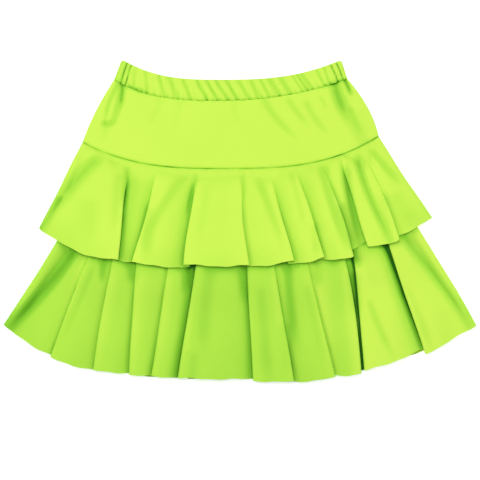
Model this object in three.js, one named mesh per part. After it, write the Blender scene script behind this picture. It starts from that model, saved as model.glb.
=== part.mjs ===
// A mini skirt in smooth stretch knit, laid flat on a surface with its front up: an elastic waistband,
// a plain hip yoke, an upper ruffle sewn into the yoke seam, and a lower ruffle that hangs from a short
// underskirt hidden beneath the upper one. Every piece is cut as a front and a back that meet at the sides.
// Millimetres. X runs to the right, Y towards the waist, and Z up from the surface that the skirt lies on.
import * as THREE from "three";

// Driving dimensions
const CLOTH = 1.0; // thickness of the knit
const BAND = 2.6; // the waistband: two layers of knit and the elastic between them
const SEAM_GAP = 0.3; // between two pieces at a seam

// The lines that cross the skirt from side to side. Each dips from both ends to its lowest point.
const WAIST_LINE = { left: [-149.0, 203.4], low: [-22.5, 177.1], right: [127.8, 202.6], leftPower: 3.0, rightPower: 2.7 };
const CASING_SEAM = { left: [-158.2, 177.3], low: [-35, 150.1], right: [134.5, 179.1], leftPower: 2.5, rightPower: 2.5 };
const YOKE_SEAM = { left: [-197.6, 99.1], low: [-20, 66], right: [174.0, 106.6], leftPower: 2.6, rightPower: 2.6 };
const UNDERSKIRT_END = { left: [-190, 45], low: [10, 21], right: [186, 45], leftPower: 2.0, rightPower: 2.0 };
const UPPER_HEM = { left: [-251.0, -8.4], low: [-43.8, -58.6], right: [240.3, 4.5], leftPower: 3.2, rightPower: 2.8 };
const LOWER_HEM = { left: [-295.8, -129.4], low: [20, -199.4], right: [295.8, -130.2], leftPower: 3.75, rightPower: 2.35 };

// How far the middle of each cloth wall lies from the skirt's middle plane, between front and back
const LEVEL = { side: 0.15, band: 1.9, yokeTop: 2.1, yokeSeam: 2.5, underskirt: 1.1, lowerSeam: 1.2 };
const YOKE_PUFF = 1.6; // the front yoke stands this much prouder in its middle
const BAND_PUFF = 0.8; // the front waistband between its gathers, and as much again in its middle
const HIP = { left: 3.0, right: 6.0 }; // how far the yoke's sides bow out past a straight line
const BAND_CORNER = { drop: 1.8, width: 5 }; // how far its top edge is rounded off at each end

// The turned-down side of a ruffle, from its edge inwards: a rolled edge, then a soft trough along it
const SIDE_AT_SEAM = { inset: [0, 0, 1.2, 3.5, 6, 9, 13], rise: [0, 0.5, 1, 1, 1, 1, 1] };

// The ruffles. A fold's cloth overlaps at the hem by its tuck, stands up by its lift, and fades out
// towards the seam. Its top side is 1 where the cloth to its right lies on top and -1 where the left
// does. Bow bends its line sideways, the drops lower the hem on its left and right, and the fold starts
// to open at this share of the way down.
const UPPER_FRONT = {
  seam: YOKE_SEAM, hem: UPPER_HEM, seamLevel: LEVEL.yokeSeam, hemLow: 7.6, growth: 0.58, crown: 1.4, sag: 1.8,
  rows: [0, 0.1, 0.28, 0.5, 0.75, 1], sideBow: { left: 0, right: -1.0 },
  leftSide: { inset: [0, 0, 1.5, 5, 10, 20, 34], level: [LEVEL.side, 2.4, 4.2, 4.6, 2.8, 5.0, 8.6] },
  rightSide: { inset: [0, 0, 1.5, 4, 9, 15, 22], level: [LEVEL.side, 2.2, 3.8, 4.6, 5.2, 6.4, 7.8] },
  folds: [
    { seam: -138.1, hem: -150.9, bow: -0.5, top: -1, lift: 8.0, tuck: 7, leftDrop: -4.1, rightDrop: -4.3, start: 0.08 },
    { seam: -103, hem: -134.4, bow: 1, top: 1, lift: 7.5, tuck: 7, leftDrop: -5.4, rightDrop: -4.8, start: 0.05 },
    { seam: -51.3, hem: -70.4, bow: -2.5, top: 1, lift: 8.2, tuck: 8, leftDrop: -1.4, rightDrop: -5.1, start: 0.1 },
    { seam: 5, hem: 12, bow: -4, top: -1, lift: 7.6, tuck: 8, leftDrop: -3.4, rightDrop: -2.2, start: 0.08 },
    { seam: 36, hem: 67.5, bow: 0.5, top: -1, lift: 8.0, tuck: 8, leftDrop: -5.3, rightDrop: -1.4, start: 0.12 },
    { seam: 67.5, hem: 104.8, bow: 2, top: -1, lift: 7.6, tuck: 7, leftDrop: -3.6, rightDrop: -1.6, start: 0.05 },
    { seam: 102, hem: 141, bow: 3, top: -1, lift: 9.8, tuck: 8, leftDrop: 4.2, rightDrop: -5.0, start: 0.05 },
    { seam: 124, hem: 157.8, bow: 3, top: 1, lift: 9.8, tuck: 8, leftDrop: -12, rightDrop: -2.1, start: 0.0 },
    { seam: 150, hem: 197.8, bow: 4, top: -1, lift: 8.0, tuck: 7, leftDrop: 4.5, rightDrop: -1.9, start: 0.15 },
  ],
};
const LOWER_FRONT = {
  seam: UNDERSKIRT_END, hem: LOWER_HEM, seamLevel: LEVEL.lowerSeam, hemLow: 1.2, growth: 0.68, crown: 1.2, sag: 0.4,
  rows: [0, 0.15, 0.3, 0.42, 0.54, 0.66, 0.82, 1], sideBow: { left: 3, right: 4 },
  leftSide: { inset: [0, 0, 1.5, 5, 11, 19, 32], level: [LEVEL.side, 3.2, 6.2, 7.2, 4.2, 2.2, 4.4] },
  rightSide: { inset: [0, 0, 1.5, 5, 11, 20, 34], level: [LEVEL.side, 3.0, 6.0, 7.2, 5.4, 4.0, 7.0] },
  folds: [
    { seam: -160, hem: -236.6, bow: -1, top: 1, lift: 5.0, tuck: 5, leftDrop: 0, rightDrop: 2.8, start: 0.1 },
    { seam: -141, hem: -183, bow: -4, top: 1, lift: 7.0, tuck: 6, leftDrop: -0.6, rightDrop: -0.5, start: 0 },
    { seam: -121, hem: -138.4, bow: -3, top: 1, lift: 7.4, tuck: 7, leftDrop: -5.2, rightDrop: -2.6, start: 0 },
    { seam: -80, hem: -110.6, bow: 1, top: 1, lift: 7.7, tuck: 7, leftDrop: -3.8, rightDrop: -3.8, start: 0 },
    { seam: -43, hem: -77.5, bow: -0.8, top: 1, lift: 9.6, tuck: 8, leftDrop: -3.6, rightDrop: -3.4, start: 0 },
    { seam: 6.5, hem: 16.4, bow: -1.5, top: 1, lift: 7.7, tuck: 7, leftDrop: -2.4, rightDrop: -0.2, start: 0 },
    { seam: 32, hem: 67.4, bow: 0, top: -1, lift: 8.6, tuck: 7, leftDrop: 1.4, rightDrop: 2.4, start: 0.1 },
    { seam: 70, hem: 119, bow: -1, top: -1, lift: 7.0, tuck: 7, leftDrop: 1.6, rightDrop: -0.7, start: 0 },
    { seam: 110, hem: 151.2, bow: 8, top: -1, lift: 9.6, tuck: 7, leftDrop: 2.3, rightDrop: -1, start: 0 },
    { seam: 130, hem: 155.0, bow: 2, top: 1, lift: 9.6, tuck: 7, leftDrop: -1, rightDrop: -0.4, start: 0 },
    { seam: 160, hem: 230.4, bow: 1, top: 1, lift: 9.6, tuck: 8, leftDrop: -4.2, rightDrop: 3.4, start: 0 },
  ],
};
const UPPER_BACK = {
  ...UPPER_FRONT, hemLow: 5.1, growth: 0.7, crown: 0,
  leftSide: { inset: [0, 0, 1.5, 5, 10, 20, 34], level: [LEVEL.side, 2.2, 4.0, 4.8, 5.4, 6.6, 8.0] },
  rightSide: { inset: [0, 0, 1.5, 5, 10, 20, 34], level: [LEVEL.side, 2.2, 4.0, 4.4, 3.8, 5.4, 8.0] },
  folds: [
    { seam: -150, hem: -186, bow: -2, top: 1, lift: 5.0, tuck: 6, leftDrop: -1, rightDrop: 1, start: 0.05 },
    { seam: -108, hem: -128, bow: 2, top: 1, lift: 5.0, tuck: 6, leftDrop: -2, rightDrop: 0.5, start: 0.05 },
    { seam: -72, hem: -92, bow: 0, top: -1, lift: 5.0, tuck: 6, leftDrop: 1, rightDrop: -2, start: 0.1 },
    { seam: -30, hem: -44, bow: 3, top: -1, lift: 5.0, tuck: 5, leftDrop: 0, rightDrop: -2, start: 0.05 },
    { seam: 20, hem: 26, bow: -2, top: 1, lift: 5.0, tuck: 6, leftDrop: -2, rightDrop: 1.5, start: 0.08 },
    { seam: 62, hem: 82, bow: 2, top: 1, lift: 5.0, tuck: 6, leftDrop: -2, rightDrop: 0.5, start: 0.05 },
    { seam: 98, hem: 124, bow: 0, top: -1, lift: 5.0, tuck: 6, leftDrop: 1, rightDrop: -2, start: 0.05 },
    { seam: 136, hem: 180, bow: 3, top: -1, lift: 5.0, tuck: 6, leftDrop: 2, rightDrop: -1, start: 0.05 },
  ],
};
const LOWER_BACK = {
  ...LOWER_FRONT, growth: 0.8, crown: 0,
  leftSide: { inset: [0, 0, 1.5, 5, 11, 20, 34], level: [LEVEL.side, 2.6, 5.2, 6.2, 4.4, 3.4, 5.6] },
  rightSide: { inset: [0, 0, 1.5, 5, 11, 20, 34], level: [LEVEL.side, 2.6, 5.2, 6.2, 4.4, 3.0, 5.0] },
  folds: [
    { seam: -150, hem: -222, bow: 2, top: -1, lift: 5.5, tuck: 6, leftDrop: -1, rightDrop: -3.5, start: 0 },
    { seam: -122, hem: -168, bow: -2, top: -1, lift: 5.5, tuck: 6, leftDrop: -2.5, rightDrop: -4, start: 0 },
    { seam: -88, hem: -122, bow: 2, top: 1, lift: 5.5, tuck: 6, leftDrop: -4, rightDrop: -2, start: 0 },
    { seam: -48, hem: -66, bow: 0, top: 1, lift: 5.5, tuck: 6, leftDrop: -4, rightDrop: -1.5, start: 0 },
    { seam: -8, hem: -14, bow: 2, top: -1, lift: 5.5, tuck: 6, leftDrop: -3, rightDrop: -4, start: 0 },
    { seam: 34, hem: 48, bow: -2, top: -1, lift: 5.5, tuck: 6, leftDrop: -1.5, rightDrop: -4, start: 0 },
    { seam: 72, hem: 102, bow: 0, top: -1, lift: 5.5, tuck: 6, leftDrop: -2.5, rightDrop: -4, start: 0 },
    { seam: 106, hem: 152, bow: 2, top: 1, lift: 5.5, tuck: 6, leftDrop: -4, rightDrop: -2, start: 0 },
    { seam: 140, hem: 208, bow: -2, top: 1, lift: 5.5, tuck: 6, leftDrop: -4, rightDrop: -1, start: 0 },
  ],
};

// Gathers across the waistband: how far in from the nearer side each one lies, how far it leans
// between the top and the casing seam, and how wide and deep it is
const BAND_GATHERS = {
  left: [
    { inset: 6.5, lean: 0.5, width: 1.6, depth: 1.1 },
    { inset: 11.5, lean: 1, width: 1.5, depth: 1.0 },
    { inset: 30, lean: 8, width: 4.0, depth: 0.5 },
    { inset: 58.5, lean: 16, width: 5.0, depth: 0.6 },
    { inset: 93.5, lean: 16, width: 4.5, depth: 0.7 },
    { inset: 117, lean: 18, width: 4.5, depth: 0.7 },
  ],
  right: [
    { inset: 6, lean: -2, width: 1.6, depth: 1.0 },
    { inset: 13, lean: -3, width: 1.6, depth: 1.0 },
    { inset: 24, lean: -4, width: 3.0, depth: 0.6 },
    { inset: 52, lean: -10, width: 4.0, depth: 0.7 },
    { inset: 75, lean: -10, width: 4.5, depth: 0.7 },
    { inset: 101, lean: -11, width: 4.5, depth: 0.6 },
  ],
};
// Creases that run down the yoke from the casing seam: where each starts and ends, its half width and depth
const YOKE_CREASES = [
  { from: [-153, 172], to: [-167, 130], width: 3.2, depth: 1.2 },
  { from: [-147, 172], to: [-154, 128], width: 4.0, depth: 1.6 },
  { from: [131, 178], to: [140, 157], width: 3.2, depth: 1.5 },
  { from: [118, 173], to: [134, 120], width: 5.0, depth: 1.7 },
];

const lerp = (a, b, t) => a + (b - a) * t;
const clamp = (value, low, high) => Math.min(high, Math.max(low, value));
const smooth = (t) => t * t * (3 - 2 * t);

// The height on the page, y, of one of the crossing lines at x
function lineAt(line, x) {
  const [lowX, lowY] = line.low;
  const [endX, endY] = x < lowX ? line.left : line.right;
  const power = x < lowX ? line.leftPower : line.rightPower;
  return lowY + (endY - lowY) * Math.abs((x - lowX) / (endX - lowX)) ** power;
}

// The share of the way from one crossing line, 0, to the next, 1, at a point
function between(from, to, x, y) {
  const start = lineAt(from, x);
  return (start - y) / (start - lineAt(to, x));
}

// The middle plane's height: the thickness of all that lies under it, which is the back of the skirt.
// Under the upper ruffle that is both ruffles, and past its hem the lower one sinks to the surface.
const BACK_STACK = { band: 3.2, yoke: 3.0, upperHem: 10.6, lowerHem: 7.2, fallFrom: 0.08, fallTo: 0.5 };
function middle(x, y) {
  const onYoke = between(CASING_SEAM, YOKE_SEAM, x, y);
  if (onYoke < 1) return lerp(BACK_STACK.band, BACK_STACK.yoke, clamp(onYoke, 0, 1));
  const onUpper = between(YOKE_SEAM, UPPER_HEM, x, y);
  if (onUpper < 1) return lerp(BACK_STACK.yoke, BACK_STACK.upperHem, onUpper ** UPPER_BACK.growth);
  const onLower = clamp(between(UNDERSKIRT_END, LOWER_HEM, x, y), 0, 1);
  const lowerOnly = LEVEL.lowerSeam + CLOTH / 2
    + (BACK_STACK.lowerHem - LEVEL.lowerSeam - CLOTH / 2) * onLower ** LOWER_BACK.growth;
  const { fallFrom, fallTo } = BACK_STACK;
  const pastHem = (between(UPPER_HEM, LOWER_HEM, x, y) - fallFrom) / (fallTo - fallFrom);
  return lerp(BACK_STACK.upperHem, lowerOnly, smooth(clamp(pastHem, 0, 1)));
}

// A point of a front or back piece: level is its distance from the middle plane, and a back piece
// stops on the surface that the skirt lies on
function place(x, y, level, front, thickness = CLOTH) {
  const z = front ? middle(x, y) + level : Math.max(thickness / 2, middle(x, y) - level);
  return new THREE.Vector3(x, y, z);
}

// A closed wall of even thickness about a grid of points, whose rows run down the skirt and whose
// columns run from left to right. It stands straight up at both sides, where front and back meet.
function wall(grid, thickness, front) {
  const rows = grid.length;
  const columns = grid[0].length;
  const at = (i, j) => grid[clamp(i, 0, rows - 1)][clamp(j, 0, columns - 1)];
  const acrossAt = (i, j) => {
    if (j > 0 && j < columns - 1) return at(i, j + 1).clone().sub(at(i, j - 1));
    return new THREE.Vector3(0, 0, front === (j === 0) ? 1 : -1);
  };
  const positions = [];
  for (const side of [1, -1]) {
    for (let i = 0; i < rows; i++) {
      for (let j = 0; j < columns; j++) {
        const down = at(i + 1, j).clone().sub(at(i - 1, j));
        const normal = down.cross(acrossAt(i, j)).normalize();
        const point = at(i, j).clone().addScaledVector(normal, (side * thickness) / 2);
        positions.push(point.x, point.y, point.z);
      }
    }
  }
  const upper = (i, j) => i * columns + j;
  const lower = (i, j) => rows * columns + upper(i, j);
  const triangles = [];
  for (let i = 0; i < rows - 1; i++) {
    for (let j = 0; j < columns - 1; j++) {
      const corners = [[i, j], [i + 1, j], [i + 1, j + 1], [i, j + 1]];
      const [a, b, c, d] = corners.map(([r, k]) => upper(r, k));
      const [e, f, g, h] = corners.map(([r, k]) => lower(r, k));
      triangles.push(a, b, c, a, c, d, e, g, f, e, h, g);
    }
  }
  const rim = [];
  for (let i = 0; i < rows - 1; i++) rim.push([i, 0]);
  for (let j = 0; j < columns - 1; j++) rim.push([rows - 1, j]);
  for (let i = rows - 1; i > 0; i--) rim.push([i, columns - 1]);
  for (let j = columns - 1; j > 0; j--) rim.push([0, j]);
  rim.forEach(([i, j], n) => {
    const [k, l] = rim[(n + 1) % rim.length];
    triangles.push(upper(k, l), upper(i, j), lower(i, j), upper(k, l), lower(i, j), lower(k, l));
  });
  const geometry = new THREE.BufferGeometry();
  geometry.setAttribute("position", new THREE.Float32BufferAttribute(positions, 3));
  geometry.setIndex(triangles);
  return geometry;
}

// One fold's columns from left to right, as shares of its tuck and lift, where the right side is on top:
// in under the edge, round, back out to the edge, and over on to the top
const FOLD_SHAPE = [[0.45, 0], [1, 0.02], [1, 0.47], [0, 0.53], [0, 0.98], [0.6, 1]];
const FOLD_SPACING = 2.1; // between a fold's columns where they start at the seam
function foldColumns(fold, tier) {
  const shape = fold.top === 1 ? FOLD_SHAPE : FOLD_SHAPE.map(([x, rise]) => [-x, rise]).reverse();
  return shape.map(([x, rise], n) => ({
    seamX: fold.seam,
    hemX: fold.hem,
    seamOffset: (n - (shape.length - 1) / 2) * FOLD_SPACING,
    hemOffset: x * fold.tuck,
    seamLevel: tier.seamLevel,
    hemLevel: tier.hemLow + rise * fold.lift,
    bow: fold.bow,
    drop: fold.top === 1 ? lerp(fold.leftDrop, fold.rightDrop, rise) : lerp(fold.rightDrop, fold.leftDrop, rise),
    start: fold.start,
  }));
}

// The columns of a ruffle's side, from its edge inwards; sign is 1 on the left and -1 on the right
function sideColumns(side, sign, tier) {
  const end = sign === 1 ? "left" : "right";
  return side.inset.map((inset, n) => ({
    seamX: tier.seam[end][0],
    hemX: tier.hem[end][0],
    seamOffset: sign * (CLOTH / 2 + SIDE_AT_SEAM.inset[n]),
    hemOffset: sign * (CLOTH / 2 + inset),
    seamLevel: lerp(LEVEL.side, tier.seamLevel, SIDE_AT_SEAM.rise[n]),
    hemLevel: side.level[n],
    bow: tier.sideBow[end],
    drop: 0,
    start: 0,
  }));
}

// The columns of the panel between two folds. It keeps its height next to a fold that it lies on, and
// its hem sags a little in its middle.
const PANEL_STEP = 19;
function panelColumns(left, right, tier) {
  const width = right.hemX + right.hemOffset - left.hemX - left.hemOffset;
  const count = Math.max(1, Math.round(width / PANEL_STEP));
  const fall = 2.3;
  return Array.from({ length: count }, (_, n) => {
    const t = (n + 1) / (count + 1);
    const ease = left.hemLevel > right.hemLevel ? t ** fall : 1 - (1 - t) ** fall;
    const arch = Math.sin(Math.PI * t);
    const column = Object.fromEntries(Object.keys(left).map((key) => [key, lerp(left[key], right[key], t)]));
    column.hemLevel = lerp(left.hemLevel, right.hemLevel, ease) + tier.crown * arch;
    column.drop += tier.sag * arch;
    return column;
  });
}

// All the columns of a ruffle from left to right, with their corners rounded off
function ruffleColumns(tier) {
  const groups = [
    sideColumns(tier.leftSide, 1, tier),
    ...tier.folds.map((fold) => foldColumns(fold, tier)),
    sideColumns(tier.rightSide, -1, tier).reverse(),
  ];
  const columns = groups.flatMap((group, n) => {
    const next = groups[n + 1];
    return next ? [...group, ...panelColumns(group.at(-1), next[0], tier)] : group;
  });
  const rounded = (n, key) => (columns[n - 1][key] + 6 * columns[n][key] + columns[n + 1][key]) / 8;
  return columns.map((column, n) => {
    if (n === 0 || n === columns.length - 1) return column;
    return Object.fromEntries(Object.keys(column).map((key) => [key, rounded(n, key)]));
  });
}

function ruffle(tier, front) {
  const columns = ruffleColumns(tier);
  const grid = tier.rows.map((v) => columns.map((column) => {
    const opened = clamp((v - column.start) / (1 - column.start), 0, 1);
    const offset = lerp(column.seamOffset, column.hemOffset, opened);
    const x = lerp(column.seamX, column.hemX, v) + offset + column.bow * 4 * v * (1 - v);
    const top = lineAt(tier.seam, column.seamX + column.seamOffset) - SEAM_GAP / 2;
    const bottom = lineAt(tier.hem, column.hemX + column.hemOffset) - column.drop;
    const level = lerp(column.seamLevel, column.hemLevel, opened ** tier.growth);
    return place(x, lerp(top, bottom, v), level, front);
  }));
  return wall(grid, CLOTH, front);
}

// How deep the creases are at a point
function creaseAt(creases, x, y) {
  return creases.reduce((sum, crease) => {
    const along = new THREE.Vector2(crease.to[0] - crease.from[0], crease.to[1] - crease.from[1]);
    const length = along.length();
    along.divideScalar(length);
    const offset = new THREE.Vector2(x - crease.from[0], y - crease.from[1]);
    const down = offset.dot(along) / length;
    const aside = offset.cross(along) / crease.width;
    return sum + crease.depth * Math.exp(-aside * aside) * smooth(clamp(1.15 - down, 0, 1));
  }, 0);
}

// How a plain piece turns over at its side, from the edge inwards: straight up, then round to its full level
const SIDE_TURN = { inset: [0, 0.25, 0.95, 1.9], rise: [0, 0.5, 0.87, 1] };
const turnedOver = (n, columns) => SIDE_TURN.rise[Math.min(n, columns - 1 - n)] ?? 1;

// Columns of a plain piece: close together at its rounded sides and where it is creased
const PLAIN_INSETS = [...SIDE_TURN.inset, 4.5, 8.5, 12, 16, 20, 25, 31, 40, 55];
const MIDDLE_COLUMNS = 17;
function plainColumns(widthLeft, widthRight) {
  const middleShares = Array.from({ length: MIDDLE_COLUMNS }, (_, n) => (n + 1) / (MIDDLE_COLUMNS + 1));
  const width = widthRight - widthLeft;
  const innermost = PLAIN_INSETS.at(-1) / width;
  return [
    ...PLAIN_INSETS.map((inset) => inset / width),
    ...middleShares.map((share) => lerp(innermost, 1 - innermost, share)),
    ...PLAIN_INSETS.map((inset) => 1 - inset / width).reverse(),
  ];
}

// A plain piece between two crossing lines. levelAt gives its level away from its sides.
function plainPiece(top, bottom, rows, front, levelAt, bowOut = { left: 0, right: 0 }, trim = 0) {
  const shares = plainColumns(top.left[0], top.right[0]);
  const ends = (line) => [line.left[0] + CLOTH / 2 + trim, line.right[0] - CLOTH / 2 - trim];
  const [topLeft, topRight] = ends(top);
  const [bottomLeft, bottomRight] = ends(bottom);
  const grid = rows.map((v) => shares.map((share, n) => {
    const bow = 4 * v * (1 - v) * (share < 0.5 ? -bowOut.left : bowOut.right) * Math.abs(2 * share - 1);
    const topX = lerp(topLeft, topRight, share);
    const bottomX = lerp(bottomLeft, bottomRight, share);
    const x = lerp(topX, bottomX, v) + bow;
    const y = lerp(lineAt(top, topX) - SEAM_GAP / 2, lineAt(bottom, bottomX) + SEAM_GAP / 2, v);
    const level = lerp(LEVEL.side, levelAt(x, y, v), turnedOver(n, shares.length));
    return place(x, y, level, front);
  }));
  return wall(grid, CLOTH, front);
}

function yoke(front) {
  const levelAt = (x, y, v) => {
    const flat = lerp(LEVEL.yokeTop, LEVEL.yokeSeam, v);
    if (!front) return LEVEL.yokeSeam + SEAM_GAP; // pressed flat on the surface
    return flat + YOKE_PUFF * Math.sin(Math.PI * v) - creaseAt(YOKE_CREASES, x, y) * (1 - v);
  };
  return plainPiece(CASING_SEAM, YOKE_SEAM, [0, 0.14, 0.3, 0.55, 0.8, 1], front, levelAt, HIP);
}

function underskirt(front) {
  const trim = 4; // its sides stay inside the ruffle that covers it
  return plainPiece(YOKE_SEAM, UNDERSKIRT_END, [0, 0.5, 1], front, () => LEVEL.underskirt, undefined, trim);
}

// The waistband: a thick wall that turns down at the sides, with its gathers as grooves across it
const BAND_INSETS = [...SIDE_TURN.inset, 4, 5.5, 7.6, 9.2, 10.8, 13, 17];
const BAND_STEP = 5.6;
function waistband(front) {
  const [left, right] = [WAIST_LINE.left[0] + BAND / 2, WAIST_LINE.right[0] - BAND / 2];
  const [lowLeft, lowRight] = [CASING_SEAM.left[0] + BAND / 2, CASING_SEAM.right[0] - BAND / 2];
  const inner = BAND_INSETS.at(-1);
  const count = Math.round((right - left - 2 * inner) / BAND_STEP);
  const insets = [
    ...BAND_INSETS,
    ...Array.from({ length: count - 1 }, (_, n) => lerp(inner, right - left - inner, (n + 1) / count)),
    ...BAND_INSETS.map((inset) => right - left - inset).reverse(),
  ];
  const grid = [0, 0.3, 0.7, 1].map((v) => insets.map((inset, n) => {
    const share = inset / (right - left);
    const topX = lerp(left, right, share);
    const lowX = lerp(lowLeft, lowRight, share);
    const fromRight = right - left - inset;
    const groove = (gathers, from) => gathers.reduce((sum, { inset: at, lean, width, depth }) => {
      const aside = (from - at - lean * v) / width;
      return sum + depth * Math.exp(-aside * aside);
    }, 0);
    const gathers = groove(BAND_GATHERS.left, inset) + groove(BAND_GATHERS.right, fromRight);
    const full = LEVEL.band + (front ? BAND_PUFF * (1 + Math.sin(Math.PI * v) ** 2) - gathers : 0);
    const corner = clamp(1 - Math.min(inset, fromRight) / BAND_CORNER.width, 0, 1) ** 2 * BAND_CORNER.drop;
    const y = lerp(lineAt(WAIST_LINE, topX) - corner, lineAt(CASING_SEAM, lowX) + SEAM_GAP / 2, v);
    const level = lerp(LEVEL.side, full, turnedOver(n, insets.length));
    return place(lerp(topX, lowX, v), y, level, front, BAND);
  }));
  return wall(grid, BAND, front);
}

// The pieces, each with the colour of the dyed knit
const KNIT_COLOUR = 0xc4f852;
const knit = () => new THREE.MeshStandardMaterial({ color: KNIT_COLOUR, roughness: 0.72, metalness: 0 });
const PIECES = {
  waistband_front: waistband(true),
  waistband_back: waistband(false),
  yoke_front: yoke(true),
  yoke_back: yoke(false),
  underskirt_front: underskirt(true),
  underskirt_back: underskirt(false),
  upper_ruffle_front: ruffle(UPPER_FRONT, true),
  upper_ruffle_back: ruffle(UPPER_BACK, false),
  lower_ruffle_front: ruffle(LOWER_FRONT, true),
  lower_ruffle_back: ruffle(LOWER_BACK, false),
};

// The origin is under the middle of the whole skirt, on the surface
const box = new THREE.Box3();
for (const geometry of Object.values(PIECES)) {
  geometry.computeBoundingBox();
  box.union(geometry.boundingBox);
}
const centre = box.getCenter(new THREE.Vector3());

const skirt = new THREE.Group();
for (const [name, geometry] of Object.entries(PIECES)) {
  const piece = new THREE.Mesh(geometry.translate(-centre.x, -centre.y, -box.min.z), knit());
  piece.name = name;
  skirt.add(piece);
}

export default skirt;
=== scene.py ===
# %% [markdown]
# # A two-tier ruffled mini skirt, laid flat
#
# The skirt lies on a pale surface with its front up and is seen from straight above. It is built from
# thin sheets of knit: a gathered waistband, a plain hip yoke, an upper ruffle sewn into the yoke seam,
# and a lower ruffle that hangs from a short hidden underskirt. Each has a front and a back half.
#
# All sizes are in millimetres until a sheet becomes a mesh. The cut sizes, the lights and the camera are in
# metres. X runs to the right, Y towards the waist, and Z up from the surface.

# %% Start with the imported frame
import math
from collections import namedtuple

import bpy
import numpy as np
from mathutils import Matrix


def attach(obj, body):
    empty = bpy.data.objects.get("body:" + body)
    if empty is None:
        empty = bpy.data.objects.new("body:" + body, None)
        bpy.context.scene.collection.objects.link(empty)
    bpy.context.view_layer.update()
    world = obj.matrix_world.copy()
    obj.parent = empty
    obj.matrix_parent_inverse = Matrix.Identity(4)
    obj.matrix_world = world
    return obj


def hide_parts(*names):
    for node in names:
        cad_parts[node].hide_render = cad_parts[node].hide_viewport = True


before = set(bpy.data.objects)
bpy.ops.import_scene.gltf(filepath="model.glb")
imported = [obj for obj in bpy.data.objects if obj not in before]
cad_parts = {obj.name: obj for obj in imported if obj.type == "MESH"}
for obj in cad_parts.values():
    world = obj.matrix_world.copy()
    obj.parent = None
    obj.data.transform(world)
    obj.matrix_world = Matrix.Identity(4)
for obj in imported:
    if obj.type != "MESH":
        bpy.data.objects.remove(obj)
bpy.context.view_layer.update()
MM = 0.001
CLOTH = 0.7  # thickness of the real knit
WALL = 1.0  # thickness that the solid frame gives it
SEAM_GAP = 0.1  # left between the edges of two sheets at a seam

# %% [markdown]
# ## The lines that cross the skirt
#
# Every seam and hem is a wide smile. A power curve on either side of its lowest point draws each one,
# and the power says how late it turns up.

# %% Crossing lines
Line = namedtuple("Line", "left low right left_power right_power")
WAIST_LINE = Line((-149.0, 203.4), (-22.5, 177.1), (127.8, 202.6), 3.0, 2.7)
CASING_SEAM = Line((-158.2, 177.3), (-35, 151.3), (134.5, 179.1), 2.6, 2.4)
YOKE_SEAM = Line((-197.6, 99.1), (-20, 66), (174.0, 106.6), 2.85, 3.0)
UNDERSKIRT_END = Line((-190, 45), (10, 21), (186, 45), 2.0, 2.0)
UPPER_HEM = Line((-251.0, -8.4), (-43.8, -58.6), (240.3, 4.5), 3.2, 2.8)
LOWER_HEM = Line((-295.8, -129.4), (20, -199.4), (295.8, -130.2), 3.75, 2.35)


def line_at(line, x):
    """The y of a crossing line at x."""
    x = np.asarray(x, float)
    on_left = x < line.low[0]
    end_x = np.where(on_left, line.left[0], line.right[0])
    end_y = np.where(on_left, line.left[1], line.right[1])
    power = np.where(on_left, line.left_power, line.right_power)
    share = np.abs((x - line.low[0]) / (end_x - line.low[0]))
    return line.low[1] + (end_y - line.low[1]) * share**power


def lerp(a, b, t):
    return a + (b - a) * t


def smooth(t):
    t = np.clip(t, 0, 1)
    return t * t * (3 - 2 * t)


def between(start, end, x, y):
    """The share of the way from one line to the next at a point."""
    return (line_at(start, x) - y) / (line_at(start, x) - line_at(end, x))


print("waist", round(WAIST_LINE.right[0] - WAIST_LINE.left[0]), "mm, lower hem",
      round(LOWER_HEM.right[0] - LOWER_HEM.left[0]), "mm")

# %% [markdown]
# ## The pile of cloth
#
# A flat skirt is a pile: back ruffles below, front ruffles above. A middle plane runs between the back
# and the front, and rises where more cloth lies under it. Every sheet states its level above or below
# that plane, so no two sheets meet.

# %% The middle plane and the levels
SEAM_LEVEL = {"side": 0.15, "yoke_top": 2.1, "yoke": 2.5, "underskirt": 1.1, "lower": 1.2}
# Heights of the plane, and the shares of the way to the lower hem between which it comes down again
STACK = {"band": 3.2, "yoke": 3.0, "upper_hem": 10.6, "lower_hem": 7.2, "fall_from": 0.08, "fall_to": 0.5}
GROWTH = {"upper": 0.7, "lower": 0.8}  # a ruffle stands up quickly below its seam


def middle(x, y):
    """Height of the plane between the back and the front of the skirt."""
    on_yoke = between(CASING_SEAM, YOKE_SEAM, x, y)
    on_upper = between(YOKE_SEAM, UPPER_HEM, x, y)
    on_lower = np.clip(between(UNDERSKIRT_END, LOWER_HEM, x, y), 0, 1)
    flat = lerp(STACK["band"], STACK["yoke"], np.clip(on_yoke, 0, 1))
    rising = lerp(STACK["yoke"], STACK["upper_hem"], np.clip(on_upper, 0, 1) ** GROWTH["upper"])
    start = SEAM_LEVEL["lower"] + WALL / 2
    alone = lerp(start, STACK["lower_hem"], on_lower ** GROWTH["lower"])
    below_hem = between(UPPER_HEM, LOWER_HEM, x, y)
    past = (below_hem - STACK["fall_from"]) / (STACK["fall_to"] - STACK["fall_from"])
    falling = lerp(STACK["upper_hem"], alone, smooth(past))
    return np.where(on_yoke < 1, flat, np.where(on_upper < 1, rising, falling))


def place(x, y, level, front):
    """Points of a front or back sheet. A back sheet stops on the surface."""
    z = middle(x, y) + level if front else np.maximum(CLOTH / 2, middle(x, y) - level)
    return np.stack([x, y, z], axis=-1)


print("middle plane", round(float(middle(0, -58)), 1), "mm high at the upper hem,",
      round(float(middle(0, -199)), 1), "mm at the lower hem")

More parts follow.
